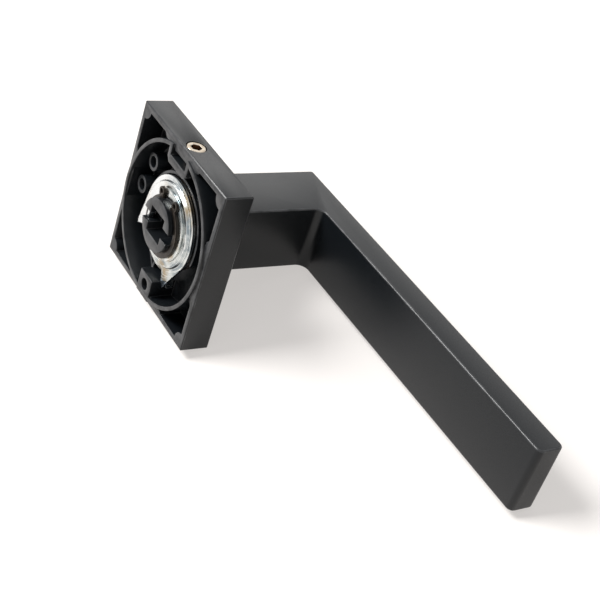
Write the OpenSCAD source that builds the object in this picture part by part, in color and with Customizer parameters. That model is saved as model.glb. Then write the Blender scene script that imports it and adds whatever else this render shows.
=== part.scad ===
// Door lever handle on a square sprung rose.
// +Y faces the door: the rose's rim lies in the plane Y = 0 and the lever stands out towards -Y.
// The grip points along -X, and the rose's fixing screw is on the +Z side.
// The origin is on the lever's turning axis. Depths are counted from Y = 0 towards -Y.

/* [Rose] */
// Side of the square rose
rose_w = 52; // [50:0.5:66]
// Overall thickness of the rose, from its rim to its front
rose_t = 9.1; // [8.9:0.1:14]
// Thickness of the rose's four side walls
rose_wall = 1.8; // [1.2:0.1:2.4]
// Thickness of the rose's front face
rose_face = 2; // [1.6:0.1:2.2]
// Chamfer along the rose's outer edges
rose_chamfer = 0.35; // [0.1:0.05:0.8]
// Radius of the solid quarter round in each inner corner
gusset_r = 3; // [1:0.1:5]
// Length of the thicker pad in the middle of each side wall
pad_l = 20; // [12:0.5:26]
// Thickness of that pad
pad_t = 1.1; // [0.4:0.1:1.4]

/* [Locating ring and lug] */
// Clearance between the stop fins' tips and the ring that seats on the mounting plate
ring_gap = 3.8; // [3:0.1:5]
// Thickness of the ring's wall
ring_t = 1.2; // [0.8:0.1:1.8]
// How far the ring stands proud of the rim
ring_proud = 0.8; // [0:0.1:1.5]
// Width inside the ring's notch for the mounting plate's tongue
notch_w = 9.2; // [6:0.1:12]
// Depth of the notch, from the ring's outside towards the axis
notch_drop = 4.05; // [3:0.05:4.4]
// Thickness of the notch's floor wall
notch_floor_t = 2.4; // [1.5:0.1:2.6]
// Thickness of the notch's side walls
notch_side_t = 1.4; // [0.8:0.1:2]
// Width of the square stop lug opposite the notch
lug_w = 7.4; // [5:0.1:8.5]
// How far the stop fins reach over the lug's inner face
lug_catch = 2.05; // [1.5:0.05:2.6]
// Radius of the locating hole in the lug
lug_hole_r = 1.8; // [1:0.1:2]
// Distance from the lug's inner face to the middle of its hole
lug_hole_in = 3.35; // [2.8:0.05:3.8]
// Depth of the lug's hole and of the holes in the posts
hole_depth = 4.2; // [2:0.1:4.5]

/* [Posts] */
// Outside radius of the two tubular posts
post_r = 2.75; // [2.2:0.05:3.3]
// Radius of the hole down each post
post_hole_r = 1.75; // [1:0.05:1.9]
// Clearance between the posts and the ring
post_gap = 0.95; // [0.3:0.05:1.5]
// Angle of the first post from straight down, away from the grip
post_turn = 93; // [88:1:100]
// Angle between the two posts
post_pitch = 29.6; // [20:0.2:36]
// Depth of the posts' ends below the rim
post_depth = 2; // [1:0.1:4]

/* [Spring cup] */
// Clearance between the cam plate's edge and the wall round the spring
cup_gap = 0.25; // [0.1:0.05:0.6]
// Thickness of the cup's wall and of the spring pocket's wall
cup_t = 0.9; // [0.6:0.1:1.1]
// Angle from straight down, on the grip side, where the cup's wall starts
cup_from = 72; // [70:1:100]
// Angle from straight down, away from the grip, of the spring pocket's radial wall
pocket_turn = 12.5; // [10:0.5:14]
// How far the spring pocket's point stands out from the cup's wall
pocket_out = 3.5; // [3:0.1:4.5]

/* [Rose fixing screw] */
// Radius of the fixing screw
screw_r = 3; // [2.5:0.5:3]
// Length of the fixing screw
screw_l = 4.9; // [4:0.1:5]
// Width across the flats of the screw's hexagon socket
screw_key = 3; // [2:0.5:3]
// Depth of the hexagon socket
screw_key_depth = 2.4; // [1:0.1:3]
// How far the screw's end lies below the rose's side
screw_recess = 0.15; // [0:0.05:0.5]
// Depth of the screw's axis below the rim
screw_depth = 4; // [3.5:0.05:4]
// Width of the boss that carries the screw
boss_w = 8; // [7:0.1:11]
// Height of that boss above the side wall's inner face
boss_t = 1.7; // [1:0.1:1.8]

/* [Lever] */
// Width of the square neck
neck_w = 20.6; // [18.7:0.1:24]
// Height of the neck and of the grip
grip_h = 20.7; // [18.7:0.1:24]
// Thickness of the grip
grip_t = 8.6; // [6:0.1:14]
// Distance from the turning axis to the grip's tip
grip_l = 118; // [90:1:160]
// Distance from the door to the grip's outer face
projection = 54.8; // [44:0.2:70]
// Rounding of the grip's tip
tip_r = 1.8; // [0.5:0.1:2.8]
// Rounding of the outer corner over the neck
corner_r = 0.9; // [0.3:0.1:3]
// Radius of the inner fillet between the neck and the grip
inner_r = 3; // [1:0.1:8]
// Running gap between the neck and the rose's front
neck_gap = 0.3; // [0.2:0.05:0.6]

/* [Hub] */
// Radius of the round hub
hub_r = 8; // [6.6:0.05:8.1]
// How far the hub stands out of the rose towards the door
hub_proud = 2.5; // [1.9:0.1:4]
// Width of the square spindle socket
socket_w = 8.3; // [7.1:0.1:8.4]
// Depth of the spindle socket from the hub's end
socket_depth = 32; // [20:1:50]
// Width of the slot across the hub's end
slot_w = 3.35; // [2.5:0.05:4]

/* [Retaining ring and washer] */
// Height of the retaining ring's outer face above the rim
clip_up = 0.7; // [0.5:0.05:0.9]
// Thickness of the retaining ring
clip_t = 1; // [0.9:0.05:1]
// Depth of the retaining ring's groove in the hub
groove_t = 0.4; // [0.3:0.05:0.5]
// Widest breadth of the retaining ring
clip_w = 2.2; // [1.6:0.1:2.5]
// Radius of the retaining ring's two eyes
eye_r = 1.35; // [1.1:0.05:1.4]
// Radius of the hole in each eye
eye_hole_r = 0.75; // [0.5:0.05:0.8]
// Half the angle between the eyes
eye_half = 25; // [20:1:40]
// Angle of the ring's opening from straight up, away from the grip
clip_turn = 0; // [-60:1:60]
// Thickness of the washer under the retaining ring
washer_t = 0.4; // [0.3:0.05:0.4]
// Breadth of that washer
washer_w = 2.75; // [2:0.05:3]

/* [Cam plate] */
// Thickness of the cam plate's sheet
plate_t = 1; // [0.8:0.05:1]
// How far the cam plate's raised disc reaches past the washer
disc_margin = 1.75; // [1:0.05:2.2]
// Height of the raised disc above the plate's flange
disc_up = 0.9; // [0.4:0.05:1]
// Breadth of the plate's flange outside the step round that disc
flange_w = 1.45; // [1.1:0.05:2]
// How far the tips of the two stop fins stand out from the plate's edge
fin_out = 5.4; // [4.5:0.1:6.5]
// Clearance between a stop fin and the stop lug at each end of the travel
stop_gap = 0.25; // [0.2:0.05:0.5]
// Lever travel between the two stops, in degrees
travel = 45; // [30:1:50]
// Length of the drive tab bent down at the fin's tip, from the flange's outer face
tab_drop = 3.6; // [3:0.1:4]
// How far the left tongue stands up in the hub's slot, above the rim
tongue_up = 1.4; // [0:0.1:1.5]

/* [Spring] */
// Diameter of the spring's wire
wire_d = 1.3; // [1:0.05:1.6]
// Clearance between the spring's coil and the tube inside it
coil_gap = 1.35; // [0.8:0.05:1.6]

/* [Bearings] */
// Thickness of the nylon bush's wall
bush_wall = 1.25; // [1:0.05:1.3]
// How far the bush's flange stands out from its sleeve
bush_flange_w = 2.1; // [1:0.1:3]
// Thickness of the bush's flange
bush_flange_t = 0.9; // [0.6:0.05:1]
// Thickness of the nylon thrust washer under the cam plate
thrust_t = 0.8; // [0.6:0.05:0.9]
// Thickness of the wall of the rose's tube round the bush
tube_wall = 1.35; // [1:0.05:1.6]

/* [Fits] */
// Radial clearance of a running or sliding fit
running_gap = 0.05; // [0.02:0.01:0.1]
// Gap between stacked parts
stack_gap = 0.05; // [0.02:0.01:0.08]
// Clearance round the spring and between a tongue and its slot
side_gap = 0.12; // [0.1:0.01:0.2]

/* [Hidden] */

$fn = 96;
over = 1; // how far a cutting shape runs past the face that it cuts

black_coat = "#2b2d30";
bare_cut = "#55575a";
zinc_plate = "#c9cbc8";
nylon = "#26272a";
spring_steel = "#8a8b8d";

half_w = rose_w / 2;
inner_w = rose_w - 2 * rose_wall;
floor_depth = rose_t - rose_face;

clip_depth = -clip_up;
washer_depth = clip_depth + clip_t + stack_gap;
disc_depth = washer_depth + washer_t + stack_gap;
disc_end = disc_depth + plate_t;
thrust_depth = disc_end + stack_gap;
tube_depth = thrust_depth + thrust_t + stack_gap;
plate_depth = disc_depth + disc_up;
plate_end = plate_depth + plate_t;
cup_depth = plate_end + 4 * stack_gap;

// Outwards from the hub: bush, tube, spring, cam plate, cup, stop fins, ring.
bush_bore = hub_r + running_gap;
bush_r = bush_bore + bush_wall;
bush_flange_r = bush_r + bush_flange_w;
tube_r = bush_r + running_gap + tube_wall;
washer_r = hub_r + running_gap + washer_w;
plate_bore = hub_r + running_gap;
coil_r = tube_r + coil_gap + wire_d / 2;
disc_r = washer_r + disc_margin;
step_run = 0.4;
plate_r = disc_r + step_run + flange_w;
cup_r = plate_r + cup_gap;
pocket_r = cup_r + cup_t / 2 + pocket_out;
fin_r = plate_r + fin_out;
lug_r = fin_r - lug_catch;
lug_hole_at = lug_r + lug_hole_in;
ring_r = fin_r + ring_gap;
post_at = ring_r - post_r - post_gap;

// The fins' edges follow from where the stop lug's sides lie at their tips.
lug_half = asin((lug_w / 2 + stop_gap) / fin_r);
drive_turn = lug_half + 3;
ear_turn = lug_half + travel + 2;

spring_depth = plate_end + side_gap + wire_d / 2;
tab_t = 1.2 * plate_t;
tab_r = plate_r + wire_d; // the drive tab's inner edge
leg_turn = drive_turn + asin((tab_t + side_gap + wire_d / 2) / tab_r);
hold_turn = -pocket_turn - asin((cup_t / 2 + side_gap + wire_d / 2) / (pocket_r - 2 * wire_d));

neck_depth = rose_t + neck_gap;
grip_depth = projection - grip_t;

// Places a shape drawn in the plane of the door at its depth into the rose.
module at_depth(d) { rotate([90, 0, 0]) translate([0, 0, d]) children(); }

// A point at a radius and an angle, counted from straight down towards the grip.
function polar(r, a) = [-r * sin(a), -r * cos(a)];

// A ring's outline.
module ring(outer, inner) {
    difference() {
        circle(outer);
        circle(inner);
    }
}

// A block with chamfered edges, from its depth downwards.
module chamfered_block(w, t, c) {
    side = [[-w / 2 + c, 0], [w / 2 - c, 0], [w / 2, c], [w / 2, t - c], [w / 2 - c, t],
        [-w / 2 + c, t], [-w / 2, t - c], [-w / 2, c]];
    intersection() {
        rotate([90, 0, 0]) translate([0, 0, -w / 2]) linear_extrude(w) polygon(side);
        rotate([90, 0, 90]) translate([0, 0, -w / 2]) linear_extrude(w) polygon(side);
        linear_extrude(t) polygon([for (i = [0:3], s = [-1, 1])
            let (a = 90 * i, x = w / 2, y = s * (w / 2 - c))
            [x * cos(a) - y * sin(a), x * sin(a) + y * cos(a)]]);
    }
}

// The cavity's outline, less its corner gussets, wall pads and screw boss.
module cavity_outline() {
    difference() {
        square(inner_w, center = true);
        for (x = [-1, 1], y = [-1, 1]) translate([x, y] * inner_w / 2) circle(gusset_r);
        for (i = [0:3]) rotate(90 * i) translate([0, inner_w / 2])
            polygon([[-pad_l / 2 - pad_t, 0], [-pad_l / 2, -pad_t], [pad_l / 2, -pad_t], [pad_l / 2 + pad_t, 0]]);
        translate([0, inner_w / 2])
            polygon([[-boss_w / 2 - boss_t / 2, 0], [-boss_w / 2, -boss_t], [boss_w / 2, -boss_t],
                [boss_w / 2 + boss_t / 2, 0]]);
    }
}

// The proud ring with its notch on the screw's side.
module locating_ring_outline() {
    notch_top = ring_r + ring_t;
    notch_bottom = notch_top - notch_drop;
    outer_w = notch_w + 2 * notch_side_t;
    difference() {
        ring(ring_r + ring_t, ring_r);
        translate([-outer_w / 2 + notch_side_t / 2, 0]) square([outer_w - notch_side_t, notch_top + over]);
    }
    intersection() {
        circle(ring_r + ring_t);
        difference() {
            translate([-outer_w / 2, notch_bottom - notch_floor_t])
                square([outer_w, notch_drop + notch_floor_t]);
            translate([-notch_w / 2, notch_bottom]) square([notch_w, notch_drop + over]);
            for (s = [-1, 1]) translate([s * outer_w / 2, notch_bottom - notch_floor_t])
                circle(notch_floor_t * 0.6, $fn = 4);
        }
    }
}

// The stop lug, out to the side wall.
module lug_outline() {
    translate([-lug_w / 2, -half_w + rose_wall / 2]) square([lug_w, half_w - rose_wall / 2 - lug_r]);
}

// The wall round the spring, with a pocket for the spring's fixed leg.
module cup_outline() {
    mid = cup_r + cup_t / 2;
    reach = acos(mid / pocket_r);
    touch = -pocket_turn - reach;
    open = [for (i = [0:8]) polar(2 * cup_r, touch + (cup_from - touch) * i / 8)];
    difference() {
        ring(cup_r + cup_t, cup_r);
        polygon(concat([[0, 0]], open));
    }
    bar(polar(mid, touch), polar(pocket_r, -pocket_turn), cup_t * 0.9);
    bar(polar(pocket_r, -pocket_turn), polar(mid, -pocket_turn), cup_t * 0.9);
}

// A straight wall between two points, run on by half its thickness past both.
module bar(a, b, t) {
    d = b - a;
    translate(a) rotate(atan2(d[1], d[0])) translate([-t / 2, -t / 2]) square([norm(d) + t, t]);
}

// Runs a drilling down through something at its depth.
module drilled(p, r, from, l) {
    at_depth(from - over) translate(p) cylinder(r = r, h = l + over);
}

post_places = [for (i = [0, 1]) polar(post_at, -post_turn - i * post_pitch)];

module rose() {
    color(black_coat) difference() {
        union() {
            difference() {
                at_depth(0) chamfered_block(rose_w, rose_t, rose_chamfer);
                at_depth(-over) linear_extrude(floor_depth + over) cavity_outline();
            }
            at_depth(-ring_proud) linear_extrude(floor_depth + ring_proud + rose_face / 2) {
                locating_ring_outline();
                lug_outline();
            }
            at_depth(cup_depth) linear_extrude(floor_depth - cup_depth + rose_face / 2) cup_outline();
            at_depth(tube_depth) cylinder(r = tube_r, h = floor_depth - tube_depth + rose_face / 2);
            for (p = post_places)
                at_depth(post_depth) translate(p) cylinder(r = post_r, h = floor_depth - post_depth + rose_face / 2);
        }
        at_depth(-over) cylinder(r = bush_r + running_gap, h = rose_t + 2 * over);
        at_depth(rose_t - bush_flange_t + stack_gap)
            cylinder(r = bush_flange_r + side_gap, h = bush_flange_t + over);
        drilled([0, -lug_hole_at], lug_hole_r, -ring_proud, hole_depth);
        for (p = post_places) drilled(p, post_hole_r, post_depth, hole_depth);
        translate([0, -screw_depth, half_w - rose_wall - boss_t - over])
            cylinder(r = screw_r + running_gap, h = rose_wall + boss_t + 2 * over);
        at_depth(-over) linear_extrude(floor_depth + over) notch_cut();
    }
}

// Keeps the notch clear of the side wall's pad, between the notch's floor and the screw's boss.
module notch_cut() {
    bottom = ring_r + ring_t - notch_drop;
    translate([-notch_w / 2, bottom]) square([notch_w, inner_w / 2 - boss_t - bottom]);
}

module rose_grub_screw() {
    end = half_w - screw_recess;
    bevel = screw_r * 0.12;
    color(bare_cut) translate([0, -screw_depth, 0]) difference() {
        rotate_extrude() polygon([[0, end], [screw_r - bevel, end], [screw_r, end - bevel],
            [screw_r, end - screw_l + 2 * bevel], [screw_r - 2 * bevel, end - screw_l], [0, end - screw_l]]);
        translate([0, 0, end - screw_key_depth])
            cylinder(r = screw_key / sqrt(3), h = screw_key_depth + over, $fn = 6);
    }
}

module bearing_bush() {
    color(nylon) difference() {
        union() {
            at_depth(tube_depth) cylinder(r = bush_r, h = rose_t - tube_depth);
            at_depth(rose_t - bush_flange_t + 2 * stack_gap) cylinder(r = bush_flange_r, h = bush_flange_t);
        }
        at_depth(0) cylinder(r = bush_bore, h = rose_t + over);
    }
}

module thrust_washer() {
    color(nylon) at_depth(thrust_depth) linear_extrude(thrust_t) ring(tube_r, bush_bore);
}

// Centre line of the spring: drive leg, coil and fixed leg, as points with their depth.
coil_steps = 72;
coil_pitch = wire_d * 1.03;
coil_room = floor_depth - plate_end - 2 * side_gap - wire_d;
leg_sweep = leg_turn - hold_turn;
coil_turns = floor(coil_room / coil_pitch - leg_sweep / 360);
coil_sweep = leg_sweep + 360 * coil_turns;
drive_leg_r = fin_r - wire_d;
hold_leg_r = (cup_r / cos(acos((cup_r + cup_t / 2) / pocket_r) - 6)) - wire_d / 2 - side_gap;
function on_axis(p, d) = [p[0], -d, p[1]];
function coil_depth(a) = spring_depth + coil_pitch * a / 360;
spring_line = concat(
    [on_axis(polar(drive_leg_r, leg_turn), spring_depth),
     on_axis(polar(coil_r + wire_d, leg_turn), spring_depth),
     on_axis(polar(coil_r + wire_d * 0.3, leg_turn - 1), spring_depth)],
    [for (i = [1:coil_steps - 1]) let (a = coil_sweep * i / coil_steps)
        on_axis(polar(coil_r, leg_turn - a), coil_depth(a))],
    [on_axis(polar(coil_r + wire_d * 0.3, hold_turn + 1), coil_depth(coil_sweep)),
     on_axis(polar(coil_r + wire_d, hold_turn), coil_depth(coil_sweep)),
     on_axis(polar(hold_leg_r, hold_turn), coil_depth(coil_sweep))]);

// A round wire along a list of points that stays nearly square to the Y axis.
module wire(points, r, sides = 10) {
    last = len(points) - 1;
    rings = [for (i = [0:last])
        let (
            t = points[min(i + 1, last)] - points[max(i - 1, 0)],
            w = t / norm(t),
            side = cross(w, [0, 1, 0]),
            u = side / norm(side),
            v = cross(u, w)
        )
        for (k = [0:sides - 1]) points[i] + r * (cos(360 * k / sides) * u + sin(360 * k / sides) * v)];
    walls = [for (i = [0:last - 1], k = [0:sides - 1])
        let (a = i * sides + k, b = i * sides + (k + 1) % sides)
        [a, a + sides, b + sides, b]];
    first_cap = [for (k = [0:sides - 1]) k];
    last_cap = [for (k = [sides - 1:-1:0]) last * sides + k];
    polyhedron(rings, concat(walls, [first_cap, last_cap]));
}

module return_spring() { color(spring_steel) wire(spring_line, wire_d / 2); }

// A stop fin: a steep edge from the plate's rim out to its tip, and a long edge that runs back into the rim.
module fin(tip, root, side) {
    tuck = 0.3; // how far the long edge's end lies inside the rim
    tangent = tip + side * (acos(plate_r / fin_r) + 4);
    polygon([polar(disc_r, root), polar(plate_r, root), polar(fin_r, tip), polar(plate_r - tuck, tangent),
        polar(disc_r, tangent)]);
}

module cam_plate() {
    step_under = disc_r - 0.45 * plate_t;
    profile = [[plate_r, plate_depth], [disc_r + step_run, plate_depth], [disc_r, disc_depth],
        [plate_bore, disc_depth], [plate_bore, disc_end], [step_under, disc_end],
        [step_under + step_run, plate_end], [plate_r, plate_end]];
    ear_round = 1;
    color(zinc_plate) {
        at_depth(0) rotate_extrude() polygon(profile);
        at_depth(plate_depth) linear_extrude(plate_t) difference() {
            union() {
                fin(drive_turn, drive_turn - 2, 1);
                intersection() {
                    fin(-ear_turn, -ear_turn - 2, -1);
                    circle(fin_r - ear_round / 3);
                }
            }
            circle(disc_r + step_run / 2);
        }
        drive_tab();
        tongue(-1, tongue_up);
        tongue(1, -disc_depth);
    }
}

// The tab at the drive fin's tip, bent down beside the spring's leg.
module drive_tab() {
    foot = fin_r * cos(6);
    at_depth(plate_depth) rotate(-drive_turn) translate([-tab_t, -foot])
        cube([tab_t, foot - tab_r, tab_drop]);
}

// A tongue from the plate into the hub's slot, turned up at its end where it has a height.
module tongue(side, up) {
    w = slot_w - 2 * side_gap;
    inner = hub_r - groove_t - plate_t - 2 * side_gap;
    at_depth(disc_depth) scale_x(side) translate([inner, -w / 2])
        cube([plate_bore + 0.5 - inner, w, plate_t]);
    if (up > -disc_depth) at_depth(-up) scale_x(side) translate([inner, -w / 2])
        cube([plate_t, w, disc_depth + up + plate_t]);
}

// Mirrors a shape to the grip's side for 1, and to the other side for -1.
module scale_x(side) { mirror([side > 0 ? 1 : 0, 0, 0]) children(); }

module retaining_washer() {
    color(zinc_plate) at_depth(washer_depth) linear_extrude(washer_t) ring(washer_r, hub_r + running_gap);
}

module circlip() {
    seat = hub_r - groove_t + running_gap / 2;
    shift = (clip_w - 1.1) / 2;
    outer = seat + clip_w - shift;
    eye_at = seat + eye_r + 0.9;
    color(bare_cut) at_depth(clip_depth) rotate(-clip_turn) linear_extrude(clip_t) difference() {
        union() {
            difference() {
                translate([0, -shift]) circle(outer);
                polygon([[0, 0], for (s = [-1, 1]) 2 * outer * [s * sin(eye_half), cos(eye_half)]]);
            }
            for (s = [-1, 1]) rotate(s * eye_half) translate([0, eye_at]) circle(eye_r);
            for (s = [-1, 1]) rotate(s * eye_half) translate([-s * 0.3, seat + 0.1])
                translate([-eye_r * 0.8, 0]) square([eye_r * 1.6, eye_r + 0.6]);
        }
        circle(seat);
        for (s = [-1, 1]) rotate(s * eye_half) translate([0, eye_at]) circle(eye_hole_r, $fn = 32);
    }
}

// The lever's outline from above: neck, grip, inner fillet and rounded corners.
module lever_outline() {
    half_neck = neck_w / 2;
    translate([-half_neck, -projection + corner_r]) square([neck_w, projection - corner_r - neck_depth]);
    translate([-half_neck, -projection]) square([neck_w - corner_r, grip_t]);
    translate([half_neck - corner_r, -projection + corner_r]) circle(corner_r, $fn = 48);
    translate([-grip_l + tip_r, -projection]) square([grip_l - tip_r, grip_t]);
    translate([-grip_l, -projection + tip_r]) square([grip_l, grip_t - 2 * tip_r]);
    for (y = [-projection + tip_r, -grip_depth - tip_r]) translate([-grip_l + tip_r, y]) circle(tip_r, $fn = 48);
    difference() {
        translate([-half_neck - inner_r, -grip_depth]) square(inner_r);
        translate([-half_neck - inner_r, -grip_depth + inner_r]) circle(inner_r, $fn = 48);
    }
}

module lever() {
    groove_depth = clip_depth - stack_gap / 2;
    slot_depth = disc_end + side_gap;
    color(black_coat) difference() {
        union() {
            translate([0, 0, -grip_h / 2]) linear_extrude(grip_h) lever_outline();
            at_depth(-hub_proud) cylinder(r = hub_r, h = hub_proud + neck_depth + over);
        }
        at_depth(groove_depth) linear_extrude(clip_t + stack_gap) ring(hub_r + over, hub_r - groove_t);
        at_depth(-hub_proud - over) translate([-socket_w / 2, -socket_w / 2])
            cube([socket_w, socket_w, socket_depth + over]);
        at_depth(-hub_proud - over) translate([-hub_r - over, -slot_w / 2])
            cube([2 * hub_r + 2 * over, slot_w, hub_proud + slot_depth + over]);
    }
}

rose();
rose_grub_screw();
bearing_bush();
thrust_washer();
return_spring();
cam_plate();
retaining_washer();
circlip();
lever();
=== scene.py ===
# Door lever handle on a square sprung rose, lying face down with its mechanism in view.
# The door is on the +Y side, the lever stands out towards -Y and the grip points along -X.
from math import acos, asin, cos, degrees, pi, radians, sin, tan
from types import SimpleNamespace

import bmesh
import bpy
from mathutils import Matrix, Vector


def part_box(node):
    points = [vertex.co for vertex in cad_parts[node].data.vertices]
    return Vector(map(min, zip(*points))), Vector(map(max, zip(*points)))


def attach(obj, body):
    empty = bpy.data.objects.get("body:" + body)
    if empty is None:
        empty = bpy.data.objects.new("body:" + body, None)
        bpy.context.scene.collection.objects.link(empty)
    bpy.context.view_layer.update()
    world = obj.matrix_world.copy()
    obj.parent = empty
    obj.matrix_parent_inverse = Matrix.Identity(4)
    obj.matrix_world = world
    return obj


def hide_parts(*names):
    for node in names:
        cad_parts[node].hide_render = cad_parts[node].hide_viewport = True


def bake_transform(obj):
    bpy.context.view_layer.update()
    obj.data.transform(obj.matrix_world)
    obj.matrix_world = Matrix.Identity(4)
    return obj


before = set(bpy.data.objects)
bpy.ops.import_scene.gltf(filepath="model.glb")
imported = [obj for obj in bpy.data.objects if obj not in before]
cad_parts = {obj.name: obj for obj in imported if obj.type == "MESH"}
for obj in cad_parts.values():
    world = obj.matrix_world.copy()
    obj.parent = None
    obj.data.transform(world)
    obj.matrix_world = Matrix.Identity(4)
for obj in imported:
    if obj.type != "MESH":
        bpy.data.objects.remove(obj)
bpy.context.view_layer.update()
scene = bpy.context.scene
mm = 0.001


# ---- Camera ----
# Looks down on the back of the rose from beside the hub, from far enough away that the
# square rose keeps its shape. Its place and directions are in the handle's own frame.
camera_place = Vector((-0.2693, 0.1754, 0.1922))
view_back = Vector((-0.638, 0.555, 0.533)).normalized()
roughly_right = Vector((-0.483, -0.828, 0.284)).normalized()
view_up = view_back.cross(roughly_right).normalized()
view_right = view_up.cross(view_back).normalized()

camera_data = bpy.data.cameras.new("camera")
camera_data.lens = 77.67
camera_data.sensor_width = 36
camera_data.clip_start = 0.01
camera = bpy.data.objects.new("camera", camera_data)
scene.collection.objects.link(camera)
camera_turn = Matrix((view_right, view_up, view_back)).transposed().to_4x4()
camera.matrix_world = Matrix.Translation(camera_place) @ camera_turn
scene.camera = camera


# ---- Table ----
# A plain white table top. The handle rests on the lower front edge of its rose and on the
# lever's lower edge, so the table slopes in the handle's own frame. It can't be seen from below.
rose_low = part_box("rose")[0]
lever_low, lever_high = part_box("lever")
slope = Vector((0, lever_low.y - rose_low.y, lever_low.z - rose_low.z)).normalized()
table_up = Vector((1, 0, 0)).cross(slope)
if table_up.z < 0:
    table_up = -table_up
table_middle = Vector((-0.03, rose_low.y, rose_low.z))
table_half = 3.0

table_mesh = bpy.data.meshes.new("table")
table_top = bmesh.new()
bmesh.ops.create_grid(table_top, x_segments=2, y_segments=2, size=table_half)
tilt = Vector((0, 0, 1)).rotation_difference(table_up).to_matrix().to_4x4()
bmesh.ops.transform(table_top, matrix=Matrix.Translation(table_middle) @ tilt, verts=table_top.verts)
table_top.to_mesh(table_mesh)
table_top.free()
table = bpy.data.objects.new("table", table_mesh)
scene.collection.objects.link(table)


def emptied(owner):
    """The node tree of a material or a world, with nothing in it."""
    owner.use_nodes = True
    owner.node_tree.nodes.clear()
    return owner.node_tree


def feed(tree, value, socket):
    """Links a socket to another node's output, or sets it to a plain value."""
    if isinstance(value, bpy.types.NodeSocket):
        tree.links.new(value, socket)
    else:
        socket.default_value = value


def maths(tree, operation, a, b):
    """One sum on two values, each a socket or a number."""
    node = tree.nodes.new("ShaderNodeMath")
    node.operation = operation
    feed(tree, a, node.inputs[0])
    feed(tree, b, node.inputs[1])
    return node.outputs["Value"]


def spread(tree, value, low, high, to_low=0.0, to_high=1.0):
    """Maps one range of a value onto another, held at its ends."""
    node = tree.nodes.new("ShaderNodeMapRange")
    feed(tree, value, node.inputs["Value"])
    ends = {"From Min": low, "From Max": high, "To Min": to_low, "To Max": to_high}
    for socket, number in ends.items():
        node.inputs[socket].default_value = number
    return node.outputs["Result"]


def mixed(tree, factor, first, second):
    """Mixes two shaders by a factor."""
    node = tree.nodes.new("ShaderNodeMixShader")
    for socket, value in zip(node.inputs, (factor, first, second)):
        tree.links.new(value, socket)
    return node.outputs["Shader"]


def seen_or_mirrored(tree):
    """1 for the camera's own rays and for those that a glossy surface mirrors, or else 0."""
    rays = tree.nodes.new("ShaderNodeLightPath").outputs
    return maths(tree, "MAXIMUM", rays["Is Camera Ray"], rays["Is Glossy Ray"])


# Seen or mirrored, the table is whiter than its paint, and white far away. In diffuse light it
# acts as painted. Its distances are in metres from its middle.
near_by, far_away = 0.15, 1.2
near_white, far_white = 0.54, 1.0
table_material = bpy.data.materials.new("white_table")
tree = emptied(table_material)
paint = tree.nodes.new("ShaderNodeBsdfDiffuse")
paint.inputs["Color"].default_value = (0.96, 0.93, 0.905, 1)
white = tree.nodes.new("ShaderNodeEmission")
white.inputs["Color"].default_value = (1, 0.96, 0.93, 1)
clear = tree.nodes.new("ShaderNodeBsdfTransparent")
away = tree.nodes.new("ShaderNodeVectorMath")
away.operation = "DISTANCE"
away.inputs[1].default_value = table_middle
tree.links.new(tree.nodes.new("ShaderNodeTexCoord").outputs["Object"], away.inputs[0])
whitened = spread(tree, away.outputs["Value"], near_by, far_away, near_white, far_white)
white_share = maths(tree, "MULTIPLY", seen_or_mirrored(tree), whitened)
upper_side = mixed(tree, white_share, paint.outputs["BSDF"], white.outputs["Emission"])
from_below = tree.nodes.new("ShaderNodeNewGeometry").outputs["Backfacing"]
both_sides = mixed(tree, from_below, upper_side, clear.outputs["BSDF"])
tree.links.new(both_sides, tree.nodes.new("ShaderNodeOutputMaterial").inputs["Surface"])
table_mesh.materials.append(table_material)


# ---- Studio light ----
# A strong soft lamp stands over the rose's back and a faint one away from the grip, in a dim
# surround. The camera, the black coat and the plating see that surround as plain white.
def lamp(name, toward, distance, size, power, colour):
    """A square lamp that faces the middle of the lever."""
    data = bpy.data.lights.new(name, "AREA")
    data.size = size
    data.energy = power
    data.color = colour
    obj = bpy.data.objects.new(name, data)
    scene.collection.objects.link(obj)
    toward = toward.normalized()
    middle = (lever_low + lever_high) / 2
    turn = toward.to_track_quat("Z", "Y").to_matrix().to_4x4()
    obj.matrix_world = Matrix.Translation(middle + toward * distance) @ turn


lamp("back_lamp", toward=Vector((0.85, -0.35, 0.60)), distance=1.1, size=0.55, power=1.0,
     colour=(1.0, 0.985, 0.96))
lamp("key_lamp", toward=Vector((0.40, 0.60, 0.62)), distance=1.3, size=0.55, power=25,
     colour=(1.0, 0.99, 0.98))

world = bpy.data.worlds.new("surround")
scene.world = world
tree = emptied(world)
surround = tree.nodes.new("ShaderNodeBackground")
surround.inputs["Color"].default_value = (0.97, 0.98, 1.0, 1)
surround.inputs["Strength"].default_value = 0.25
backdrop = tree.nodes.new("ShaderNodeBackground")
backdrop.inputs["Color"].default_value = (1, 1, 1, 1)
all_round = mixed(
    tree, seen_or_mirrored(tree), surround.outputs["Background"], backdrop.outputs["Background"])
tree.links.new(all_round, tree.nodes.new("ShaderNodeOutputWorld").inputs["Surface"])
scene.view_settings.view_transform = "Standard"


# ---- Rose ----
# The square cover is a zinc die casting, powder coated matt black all over, with its ring,
# posts and lug cast in. Its edges are softened by the die and by the coat.
merge_gap = 0.002 * mm
flat_angle = radians(0.5)
smooth_angle = radians(32)
facing_door = 0.9


def copy_of(node):
    """A merged copy of a CAD node's mesh, ready for its edges to be worked."""
    shape = bmesh.new()
    shape.from_mesh(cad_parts[node].data)
    bmesh.ops.remove_doubles(shape, verts=shape.verts, dist=merge_gap)
    bmesh.ops.dissolve_limit(
        shape, angle_limit=flat_angle, verts=shape.verts, edges=shape.edges, delimit=set())
    return shape


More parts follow.
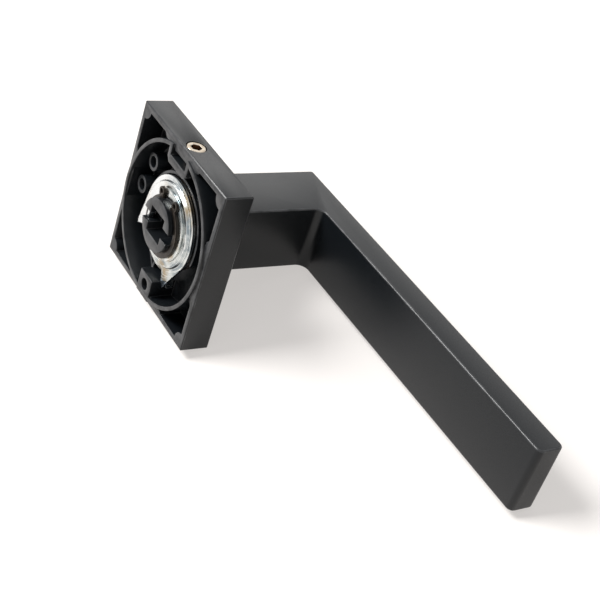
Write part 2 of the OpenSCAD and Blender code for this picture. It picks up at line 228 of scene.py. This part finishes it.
def soften(shape, width, segments=2, sharp=28, among=lambda edge: True):
    """Rounds the edges that are sharper than an angle and pass a test, and marks them as rubbed."""
    worn_and_highlit = shape.faces.layers.float.get("worn_and_highlit") or shape.faces.layers.float.new("worn_and_highlit")
    edges = [edge for edge in shape.edges
             if len(edge.link_faces) == 2 and edge.calc_face_angle(0) > radians(sharp) and among(edge)]
    made = bmesh.ops.bevel(
        shape, geom=edges, offset=width, offset_type="OFFSET", affect="EDGES", segments=segments,
        profile=0.5, material=-1, clamp_overlap=False, loop_slide=True)
    for face in made["faces"]:
        face[worn_and_highlit] = 1.0


def rub_and_highlight_door_side(shape, lowest, amount):
    """Marks the faces that face the door, down to a depth, by an amount: rubbed on the door, and paler as a
    painted highlight where these rims catch the light.
    """
    worn_and_highlit = shape.faces.layers.float.get("worn_and_highlit")
    for face in shape.faces:
        if face.normal.y > facing_door and face.calc_center_median().y > lowest:
            face[worn_and_highlit] = amount


def finished(shape, name, body, material, stands_for):
    """Makes the piece's object, smooth but for its sharp edges, hangs it on its body and hides the CAD part
    it stands for.
    """
    mesh = bpy.data.meshes.new(name)
    shape.to_mesh(mesh)
    shape.free()
    mesh.shade_smooth()
    mesh.set_sharp_from_angle(angle=smooth_angle)
    mesh.materials.clear()
    mesh.materials.append(material)
    obj = bpy.data.objects.new(name, mesh)
    scene.collection.objects.link(obj)
    if body:
        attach(obj, body)
    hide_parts(stands_for)
    return obj


def group(name, sockets_in, sockets_out):
    """An empty shader node group with named inputs, each with its usual value, and outputs."""
    tree = bpy.data.node_groups.new(name, "ShaderNodeTree")
    for socket, kind, value in sockets_in:
        made = tree.interface.new_socket(name=socket, in_out="INPUT", socket_type=kind)
        made.default_value = value
    for socket in sockets_out:
        tree.interface.new_socket(name=socket, in_out="OUTPUT", socket_type="NodeSocketFloat")
    return tree, tree.nodes.new("NodeGroupInput").outputs, tree.nodes.new("NodeGroupOutput").inputs


def noise(tree, vector, scale, detail=3.0):
    """A noise texture on a vector, with its scale from a socket or a number."""
    node = tree.nodes.new("ShaderNodeTexNoise")
    tree.links.new(vector, node.inputs["Vector"])
    feed(tree, scale, node.inputs["Scale"])
    node.inputs["Detail"].default_value = detail
    node.inputs["Roughness"].default_value = 0.6
    return node.outputs["Fac"]


def blended(tree, factor, first, second):
    """Mixes two colours by a factor, each a socket or a colour."""
    node = tree.nodes.new("ShaderNodeMix")
    node.data_type = "RGBA"
    tree.links.new(factor, node.inputs["Factor"])
    colour_sockets = [socket for socket in node.inputs if socket.type == "RGBA"]
    feed(tree, first, colour_sockets[0])
    feed(tree, second, colour_sockets[1])
    return next(socket for socket in node.outputs if socket.type == "RGBA")


# Surface grain: a fine pebble and a broad drift, on every finish of the handle.
grain_tree, grain_in, grain_out = group(
    "surface_grain",
    [("Vector", "NodeSocketVector", (0, 0, 0)), ("Grain Scale", "NodeSocketFloat", 3000.0),
     ("Drift Scale", "NodeSocketFloat", 60.0)],
    ["Height", "Drift", "Speck"])
fine = noise(grain_tree, grain_in["Vector"], grain_in["Grain Scale"], detail=2.0)
broad = noise(grain_tree, grain_in["Vector"], grain_in["Drift Scale"], detail=4.0)
grain_tree.links.new(fine, grain_out["Height"])
grain_tree.links.new(broad, grain_out["Drift"])
grain_tree.links.new(spread(grain_tree, fine, 0.66, 0.72), grain_out["Speck"])

# Edge wear: where the rounded strips have rubbed, broken up by noise. On the coat it also carries a painted
# highlight on the rims that face the door.
wear_and_highlight_tree, wear_and_highlight_in, wear_and_highlight_out = group(
    "edge_wear_and_highlight",
    [("Vector", "NodeSocketVector", (0, 0, 0)), ("Edge", "NodeSocketFloat", 0.0),
     ("Break Up", "NodeSocketFloat", 350.0), ("Amount", "NodeSocketFloat", 0.5)],
    ["Mask"])
patches = spread(wear_and_highlight_tree, noise(wear_and_highlight_tree, wear_and_highlight_in["Vector"], wear_and_highlight_in["Break Up"]), 0.30, 0.62)
rubbed = maths(wear_and_highlight_tree, "MULTIPLY", patches, wear_and_highlight_in["Edge"])
wear_and_highlight_tree.links.new(maths(wear_and_highlight_tree, "MULTIPLY", rubbed, wear_and_highlight_in["Amount"]), wear_and_highlight_out["Mask"])


def new_finish(name, grain_scale, drift_scale, break_up, wear_and_highlight_amount):
    """A new material with its coordinates, grain, and rubbed edges and painted rim highlights in place, for
    a finish to build on.
    """
    material = bpy.data.materials.new(name)
    material.use_nodes = True
    tree = material.node_tree
    place = tree.nodes.new("ShaderNodeTexCoord").outputs["Object"]
    edge = tree.nodes.new("ShaderNodeAttribute")
    edge.attribute_name = "worn_and_highlit"
    grain = tree.nodes.new("ShaderNodeGroup")
    grain.node_tree = grain_tree
    grain.inputs["Grain Scale"].default_value = grain_scale
    grain.inputs["Drift Scale"].default_value = drift_scale
    tree.links.new(place, grain.inputs["Vector"])
    wear_and_highlight = tree.nodes.new("ShaderNodeGroup")
    wear_and_highlight.node_tree = wear_and_highlight_tree
    wear_and_highlight.inputs["Break Up"].default_value = break_up
    wear_and_highlight.inputs["Amount"].default_value = wear_and_highlight_amount
    tree.links.new(place, wear_and_highlight.inputs["Vector"])
    tree.links.new(edge.outputs["Fac"], wear_and_highlight.inputs["Edge"])
    return SimpleNamespace(
        material=material, tree=tree, surface=tree.nodes["Principled BSDF"].inputs, place=place,
        height=grain.outputs["Height"], drift=grain.outputs["Drift"], speck=grain.outputs["Speck"],
        wear_and_highlight=wear_and_highlight.outputs["Mask"])


def drifting(finish, low=0.0, high=1.0):
    """A finish's broad drift, as a value that goes from one number to another."""
    return spread(finish.tree, finish.drift, 0.3, 0.7, low, high)


def masked(finish, attribute):
    """A mask that a piece's mesh carries as an attribute."""
    node = finish.tree.nodes.new("ShaderNodeAttribute")
    node.attribute_name = attribute
    return node.outputs["Fac"]


def bump(finish, height, strength, distance):
    """Raises a finish's surface by a height, over a distance in metres."""
    node = finish.tree.nodes.new("ShaderNodeBump")
    node.inputs["Strength"].default_value = strength
    node.inputs["Distance"].default_value = distance
    finish.tree.links.new(height, node.inputs["Height"])
    finish.tree.links.new(node.outputs["Normal"], finish.surface["Normal"])


# Matt black powder coat: near black, a fine pebbled skin, a little paler where edges thin the coat, and
# paler on the door-side rims, where the paler colour is a painted highlight.
coat = new_finish("black_powder_coat", grain_scale=3600, drift_scale=45, break_up=260, wear_and_highlight_amount=0.55)
tree = coat.tree
coat_dark = (0.0030, 0.0042, 0.0056, 1)
coat_light = (0.0040, 0.0052, 0.0066, 1)
coat_speck = (0.02, 0.02, 0.02, 1)
coat_thin_and_highlit = (0.105, 0.107, 0.112, 1)
coat_colour = blended(tree, drifting(coat), coat_dark, coat_light)
coat_colour = blended(tree, maths(tree, "MULTIPLY", coat.speck, 0.2), coat_colour, coat_speck)
coat_colour = blended(tree, coat.wear_and_highlight, coat_colour, coat_thin_and_highlit)
tree.links.new(coat_colour, coat.surface["Base Color"])
tree.links.new(drifting(coat, 0.30, 0.33), coat.surface["Roughness"])
coat.surface["IOR"].default_value = 1.43
bump(coat, coat.height, strength=0.6, distance=0.045 * mm)

rose_edge = 0.14 * mm
rose_rubbed_and_highlit_to = -3.2 * mm
rose_shape = copy_of("rose")
soften(rose_shape, rose_edge)
# Door-side rims: partly rubbed on the door, partly painted paler as a highlight where they catch the light.
rub_and_highlight_door_side(rose_shape, rose_rubbed_and_highlit_to, amount=0.8)
finished(rose_shape, "rose_cover", "rose_body", coat.material, "rose")


# ---- Rose grub screw ----
# An M6 hexagon-socket screw in bright steel, threaded into the rose's edge.
# It clamps the rose to the mounting plate on the door.
screw = new_finish("screw_steel", grain_scale=2600, drift_scale=500, break_up=900, wear_and_highlight_amount=0.6)
tree = screw.tree
steel_bright = (0.50, 0.45, 0.37, 1)
steel_stained = (0.34, 0.26, 0.18, 1)
steel_rubbed = (0.62, 0.58, 0.52, 1)
socket_oxide_and_shade = (0.10, 0.055, 0.03, 1)
steel_colour = blended(tree, spread(tree, screw.drift, 0.35, 0.7), steel_bright, steel_stained)
steel_colour = blended(tree, screw.wear_and_highlight, steel_colour, steel_rubbed)
# Inside the hex socket the steel is dark brown: partly oxide, partly a painted shade of the deep recess.
steel_colour = blended(tree, masked(screw, "in_socket"), steel_colour, socket_oxide_and_shade)
tree.links.new(steel_colour, screw.surface["Base Color"])
screw.surface["Metallic"].default_value = 1.0
tree.links.new(drifting(screw, 0.22, 0.42), screw.surface["Roughness"])
bump(screw, screw.height, strength=0.2, distance=0.02 * mm)

socket_r = 1.75 * mm
socket_from = 0.2 * mm
socket_to = 3 * mm
screw_shape = copy_of("rose_grub_screw")
soften(screw_shape, width=0.1 * mm)
in_socket = screw_shape.faces.layers.float.new("in_socket")
screw_low, screw_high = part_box("rose_grub_screw")
screw_middle = (screw_low + screw_high) / 2
# Faces deep in the hex socket carry the mask for its oxide and painted shade.
for face in screw_shape.faces:
    spot = face.calc_center_median()
    off_axis = Vector((spot.x - screw_middle.x, spot.y - screw_middle.y)).length
    if off_axis < socket_r and socket_from < screw_high.z - spot.z < socket_to:
        face[in_socket] = 1.0
finished(screw_shape, "grub_screw", "rose_body", screw.material, "rose_grub_screw")


# ---- Nylon bush and thrust washer ----
# Moulded in black nylon. The bush is pressed through the rose from the front, and the
# washer keeps the cam plate off its end.
nylon = new_finish("black_nylon", grain_scale=1800, drift_scale=120, break_up=300, wear_and_highlight_amount=0.0)
tree = nylon.tree
nylon_dark = (0.012, 0.012, 0.013, 1)
nylon_light = (0.022, 0.022, 0.023, 1)
nylon_colour = blended(tree, drifting(nylon), nylon_dark, nylon_light)
tree.links.new(nylon_colour, nylon.surface["Base Color"])
nylon.surface["Roughness"].default_value = 0.5
bump(nylon, nylon.height, strength=0.15, distance=0.03 * mm)
for node in ("bearing_bush", "thrust_washer"):
    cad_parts[node].data.materials.clear()
    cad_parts[node].data.materials.append(nylon.material)


# ---- Cam plate ----
# Pressed from 1 mm steel sheet and zinc plated: a raised disc in a flange, two stop fins that
# straddle the rose's lug, and two tongues that lock it to the hub's slot. The drive fin's tip
# is bent down, and a tab under its steep edge bears on the spring.
sheet_t = 1.0 * mm
plate_bore = 8.06 * mm
disc_r = 12.55 * mm
disc_top = 0.8 * mm
step_run = 0.4 * mm
step_back = 0.45 * sheet_t
step_edge = 0.12 * mm
step_from = disc_r - 1.0 * mm
flange_top = 1.7 * mm
plate_r = 14.4 * mm
fin_r = 19.8 * mm
fin_lean = 2
ear_lean = 4.75
fin_reach = degrees(acos(plate_r / fin_r))
drive_turn = 14.5
ear_turn = 58.5
crease_r = 17.0 * mm
bend = tan(radians(10))

# The fins' outlines, as radius and angle, from the steep edge round the tip to the long edge's end.
drive_fin = [(plate_r, drive_turn - fin_lean), (fin_r, drive_turn), (plate_r, drive_turn + fin_reach)]
ear_fin = [(plate_r, fin_lean - ear_turn), (19.0 * mm, 0.3 - ear_turn), (19.4 * mm, -0.5 - ear_turn),
           (18.94 * mm, -2.7 - ear_turn), (plate_r, -ear_turn - fin_reach)]


def on_rose(radius, turn, depth):
    """A point by its radius, its angle from straight down towards the grip, and its depth."""
    return Vector((-radius * sin(radians(turn)), -depth, -radius * cos(radians(turn))))


def rim_at(turn):
    """Radius of the plate's outline at an angle: its rim, or the straight edges of a fin."""
    for corners in (drive_fin, ear_fin):
        for (r1, a1), (r2, a2) in zip(corners, corners[1:]):
            if min(a1, a2) <= turn <= max(a1, a2):
                across = r2 * sin(radians(a2 - turn)) + r1 * sin(radians(turn - a1))
                return max(plate_r, r1 * r2 * sin(radians(a2 - a1)) / across)
    return plate_r


def join_into(shape, into):
    """Adds one shape's mesh to another and frees it."""
    mesh = bpy.data.meshes.new("part")
    shape.to_mesh(mesh)
    shape.free()
    into.from_mesh(mesh)
    bpy.data.meshes.remove(mesh)


def block(low, high, rounding, into):
    """A softened block between two corners, added to a shape."""
    low, high = Vector(low), Vector(high)
    shape = bmesh.new()
    bmesh.ops.create_cube(shape, size=1)
    for vert in shape.verts:
        vert.co = (low + high) / 2 + Vector(c * s for c, s in zip(vert.co, high - low))
    soften(shape, rounding)
    join_into(shape, into)


# Columns of points stand at fixed angles, closer together along the fins' steep edges.
wide_step, close_step = 2.0, 0.25
turns = [wide_step * i - 180 for i in range(round(360 / wide_step))]
turns += [drive_turn - fin_lean + close_step * i for i in range(round(fin_lean / close_step) + 1)]
turns += [fin_lean - ear_turn - close_step * i for i in range(round(ear_lean / close_step) + 1)]
turns += [drive_turn + fin_reach, -ear_turn - fin_reach]
turns = sorted(set(round(turn, 4) for turn in turns))
disc_radii = [plate_bore, 9.5 * mm, 11 * mm, disc_r - step_edge, disc_r]
step_radii = [disc_r + step_run, disc_r + step_run + step_edge]
flange_radii = [plate_r, 15.5 * mm, 16.5 * mm, crease_r - 0.1 * mm, crease_r + 0.2 * mm, 18 * mm,
                18.9 * mm, fin_r]

cam_shape = bmesh.new()
cam_shape.faces.layers.float.new("worn_and_highlit")
bent = cam_shape.verts.layers.float.new("bent")
columns = []
for turn in turns:
    rim = rim_at(turn)
    in_drive_fin = drive_turn - fin_lean < turn < drive_turn + fin_reach
    raised = [(r, disc_top) for r in disc_radii] + [(r, flange_top) for r in step_radii]
    flat = []
    for r in flange_radii:
        r = min(r, rim)
        flat.append((r, flange_top + (bend * max(0.0, r - crease_r) if in_drive_fin else 0.0)))
    under = [(r, d + sheet_t) for r, d in reversed(flat)]
    under += [(r - step_back if r > step_from else r, d + sheet_t) for r, d in reversed(raised)]
    made = []
    for r, d in raised + flat + under:
        vert = cam_shape.verts.new(on_rose(r, turn, d))
        vert[bent] = 1.0 if in_drive_fin and r > crease_r else 0.0
        made.append(vert)
    columns.append(made)
for left, right in zip(columns, columns[1:] + columns[:1]):
    for i in range(len(left)):
        cam_shape.faces.new((left[i - 1], left[i], right[i], right[i - 1]))
bmesh.ops.remove_doubles(cam_shape, verts=cam_shape.verts, dist=merge_gap)
bmesh.ops.dissolve_degenerate(cam_shape, edges=cam_shape.edges, dist=merge_gap)
bmesh.ops.recalc_face_normals(cam_shape, faces=cam_shape.faces)
soften(cam_shape, width=0.1 * mm, sharp=60)

# The drive tab: an outline by radius and depth, as thick as the sheet.
tab_turn = drive_turn + 0.6
tab_in, tab_out = 15.7 * mm, 19.6 * mm
tab_top = flange_top + 0.5 * sheet_t
tab_top_out, tab_end = 3.1 * mm, 5.2 * mm
tab_corners = [(tab_in, tab_top), (crease_r, tab_top), (tab_out, tab_top_out), (tab_out, tab_end),
               (tab_in, tab_end)]
tab_shape = bmesh.new()
tab_face = tab_shape.faces.new([tab_shape.verts.new(on_rose(r, tab_turn, d)) for r, d in tab_corners])
made = bmesh.ops.extrude_face_region(tab_shape, geom=[tab_face])
far_side = [v for v in made["geom"] if isinstance(v, bmesh.types.BMVert)]
bmesh.ops.translate(tab_shape, vec=on_rose(sheet_t, tab_turn + 90, 0), verts=far_side)
bmesh.ops.recalc_face_normals(tab_shape, faces=tab_shape.faces)
soften(tab_shape, width=0.12 * mm)
join_into(tab_shape, cam_shape)

# The two tongues, of which the one away from the grip is turned up in the hub's slot.
tongue_half = 1.55 * mm
tongue_in = 6.36 * mm
tongue_out = plate_bore + 0.5 * mm
tongue_up = 1.4 * mm
disc_under = disc_top + sheet_t
block((tongue_in, -disc_under, -tongue_half), (tongue_out, -disc_top, tongue_half),
      rounding=0.1 * mm, into=cam_shape)
block((tongue_in, -disc_under, -tongue_half), (tongue_in + sheet_t, tongue_up, tongue_half),
      rounding=0.18 * mm, into=cam_shape)
block((-tongue_out, -disc_under, -tongue_half), (-tongue_in, -disc_top, tongue_half),
      rounding=0.1 * mm, into=cam_shape)

# Clear passivated zinc: pale, with blue-grey and straw-yellow clouds, and marks that run round the disc.
# The half away from the grip is painted whiter as a painted reflection.
zinc = new_finish("zinc_plating", grain_scale=1500, drift_scale=170, break_up=500, wear_and_highlight_amount=0.5)
tree = zinc.tree
zinc_pale = (0.54, 0.57, 0.56, 1)
zinc_grey = (0.26, 0.30, 0.32, 1)
zinc_straw = (0.36, 0.28, 0.17, 1)
zinc_bright = (0.82, 0.83, 0.80, 1)
zinc_painted_reflection = (0.84, 0.86, 0.87, 1)
zinc_blue = (0.42, 0.52, 0.62, 1)
zinc_rubbed = (0.92, 0.92, 0.92, 1)
rings_across = 1400.0
marks_around = 1.6
reflection_from, reflection_to = 0.0, 8.0 * mm
apart = tree.nodes.new("ShaderNodeSeparateXYZ")
tree.links.new(zinc.place, apart.inputs["Vector"])
across, along = apart.outputs["X"], apart.outputs["Z"]
squared = maths(tree, "ADD", maths(tree, "MULTIPLY", across, across), maths(tree, "MULTIPLY", along, along))
outwards = maths(tree, "SQRT", squared, 0.0)
around = tree.nodes.new("ShaderNodeCombineXYZ")
tree.links.new(maths(tree, "MULTIPLY", outwards, rings_across), around.inputs["X"])
angle_round = maths(tree, "ARCTAN2", along, across)
tree.links.new(maths(tree, "MULTIPLY", angle_round, marks_around), around.inputs["Y"])
streak = noise(tree, around.outputs["Vector"], scale=1.0)
cloud = noise(tree, zinc.place, scale=120.0)
plate_colour = blended(tree, spread(tree, zinc.drift, 0.44, 0.58), zinc_pale, zinc_grey)
plate_colour = blended(tree, spread(tree, cloud, 0.50, 0.66), plate_colour, zinc_straw)
plate_colour = blended(tree, spread(tree, streak, 0.54, 0.66), plate_colour, zinc_bright)
# Painted reflection: the plate is painted whiter over the half away from the grip.
plate_colour = blended(tree, spread(tree, across, reflection_from, reflection_to, 0.0, 0.8), plate_colour, zinc_painted_reflection)
plate_colour = blended(tree, masked(zinc, "bent"), plate_colour, zinc_blue)
plate_colour = blended(tree, zinc.wear_and_highlight, plate_colour, zinc_rubbed)
tree.links.new(plate_colour, zinc.surface["Base Color"])
zinc.surface["Metallic"].default_value = 1.0
tree.links.new(spread(tree, streak, 0.3, 0.7, 0.15, 0.32), zinc.surface["Roughness"])
bump(zinc, streak, strength=0.35, distance=0.06 * mm)
finished(cam_shape, "cam_plate_pressing", "lever_body", zinc.material, "cam_plate")


# ---- Retaining washer and ring ----
# A thin plated washer, held down by a spring steel retaining ring in the hub's groove.
# The ring is phosphated black, with two eyes for the pliers.
washer_shape = copy_of("retaining_washer")
soften(washer_shape, width=0.06 * mm)
finished(
    washer_shape, "plated_washer", "lever_body", zinc.material, "retaining_washer")

phosphate = new_finish(
    "phosphated_spring_steel", grain_scale=2200, drift_scale=260, break_up=600, wear_and_highlight_amount=0.6)
tree = phosphate.tree
phosphate_dark = (0.018, 0.016, 0.015, 1)
phosphate_brown = (0.040, 0.030, 0.022, 1)
phosphate_rubbed = (0.16, 0.14, 0.12, 1)
ring_colour = blended(tree, drifting(phosphate), phosphate_dark, phosphate_brown)
ring_colour = blended(tree, phosphate.wear_and_highlight, ring_colour, phosphate_rubbed)
tree.links.new(ring_colour, phosphate.surface["Base Color"])
phosphate.surface["Metallic"].default_value = 0.6
phosphate.surface["Roughness"].default_value = 0.38
bump(phosphate, phosphate.height, strength=0.2, distance=0.02 * mm)

ring_shape = copy_of("circlip")
soften(ring_shape, width=0.1 * mm)
finished(
    ring_shape, "retaining_ring", "lever_body", phosphate.material, "circlip")


# ---- Return spring ----
# A torsion spring wound from round wire, under the cam plate. Its deep leg is held in the
# rose's pocket, and its shallow leg bears on the cam plate's tab and moves with the lever.
wire_r = 0.65 * mm
coil_r = 12.7 * mm
coil_pitch = 1.339 * mm
coil_turns = 2
coil_steps = 240
wire_sides = 14
shallow = 3.47 * mm
side_gap = 0.12 * mm
leg_out = coil_r + 2 * wire_r
leg_bend = coil_r + 0.6 * wire_r
bend_turn = 1
tab_leg_end = 16.6 * mm
tab_side = 1.2 * mm
cup_r = 14.65 * mm
cup_half = 0.45 * mm
cup_mid = cup_r + cup_half
pocket_r = cup_mid + 3.5 * mm
pocket_turn = 12.5
pocket_lean = radians(6)

tab_turned = drive_turn + degrees(asin((tab_side + side_gap + wire_r) / tab_in))
hold_turned = -pocket_turn - degrees(asin((cup_half + side_gap + wire_r) / (pocket_r - 4 * wire_r)))
sweep = tab_turned - hold_turned + 360 * coil_turns
deep = shallow + coil_pitch * sweep / 360
hold_leg_end = cup_r / cos(acos(cup_mid / pocket_r) - pocket_lean) - wire_r - side_gap

line = [on_rose(tab_leg_end, tab_turned, shallow), on_rose(leg_out, tab_turned, shallow),
        on_rose(leg_bend, tab_turned - bend_turn, shallow)]
for i in range(2, coil_steps - 1):
    turned = sweep * i / coil_steps
    line.append(on_rose(coil_r, tab_turned - turned, shallow + coil_pitch * turned / 360))
line += [on_rose(leg_bend, hold_turned + bend_turn, deep), on_rose(leg_out, hold_turned, deep),
         on_rose(hold_leg_end, hold_turned, deep)]

spring_shape = bmesh.new()
loops = []
for i, spot in enumerate(line):
    along = (line[min(i + 1, len(line) - 1)] - line[max(i - 1, 0)]).normalized()
    side = along.cross(Vector((0, 1, 0))).normalized()
    up = side.cross(along)
    loop = []
    for k in range(wire_sides):
        angle = 2 * pi * k / wire_sides
        loop.append(spring_shape.verts.new(spot + wire_r * (cos(angle) * side + sin(angle) * up)))
    loops.append(loop)
for here, there in zip(loops, loops[1:]):
    for k in range(wire_sides):
        spring_shape.faces.new((here[k - 1], here[k], there[k], there[k - 1]))
spring_shape.faces.new(loops[0])
spring_shape.faces.new(loops[-1])
bmesh.ops.recalc_face_normals(spring_shape, faces=spring_shape.faces)
soften(spring_shape, width=0.12 * mm, sharp=60)
spring = finished(
    spring_shape, "torsion_spring", None, phosphate.material, "return_spring")
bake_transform(spring)


# ---- Lever ----
# Grip, neck and round hub are one zinc die casting, coated like the rose. The bar's long
# edges are eased by hand before coating, the hub's edges are left as cast.
bar_edge = 0.5 * mm
hub_edge = 0.12 * mm
bar_start = -9.3 * mm
hub_rubbed_and_highlit_to = 2.0 * mm
lever_shape = copy_of("lever")
soften(lever_shape, bar_edge, segments=3, among=lambda edge: all(v.co.y < bar_start for v in edge.verts))
soften(lever_shape, hub_edge, sharp=50, among=lambda edge: any(v.co.y > bar_start for v in edge.verts))
# The hub's door-side faces: partly rubbed, partly painted paler as a highlight.
rub_and_highlight_door_side(lever_shape, hub_rubbed_and_highlit_to, amount=0.7)
finished(lever_shape, "lever_casting", "lever_body", coat.material, "lever")
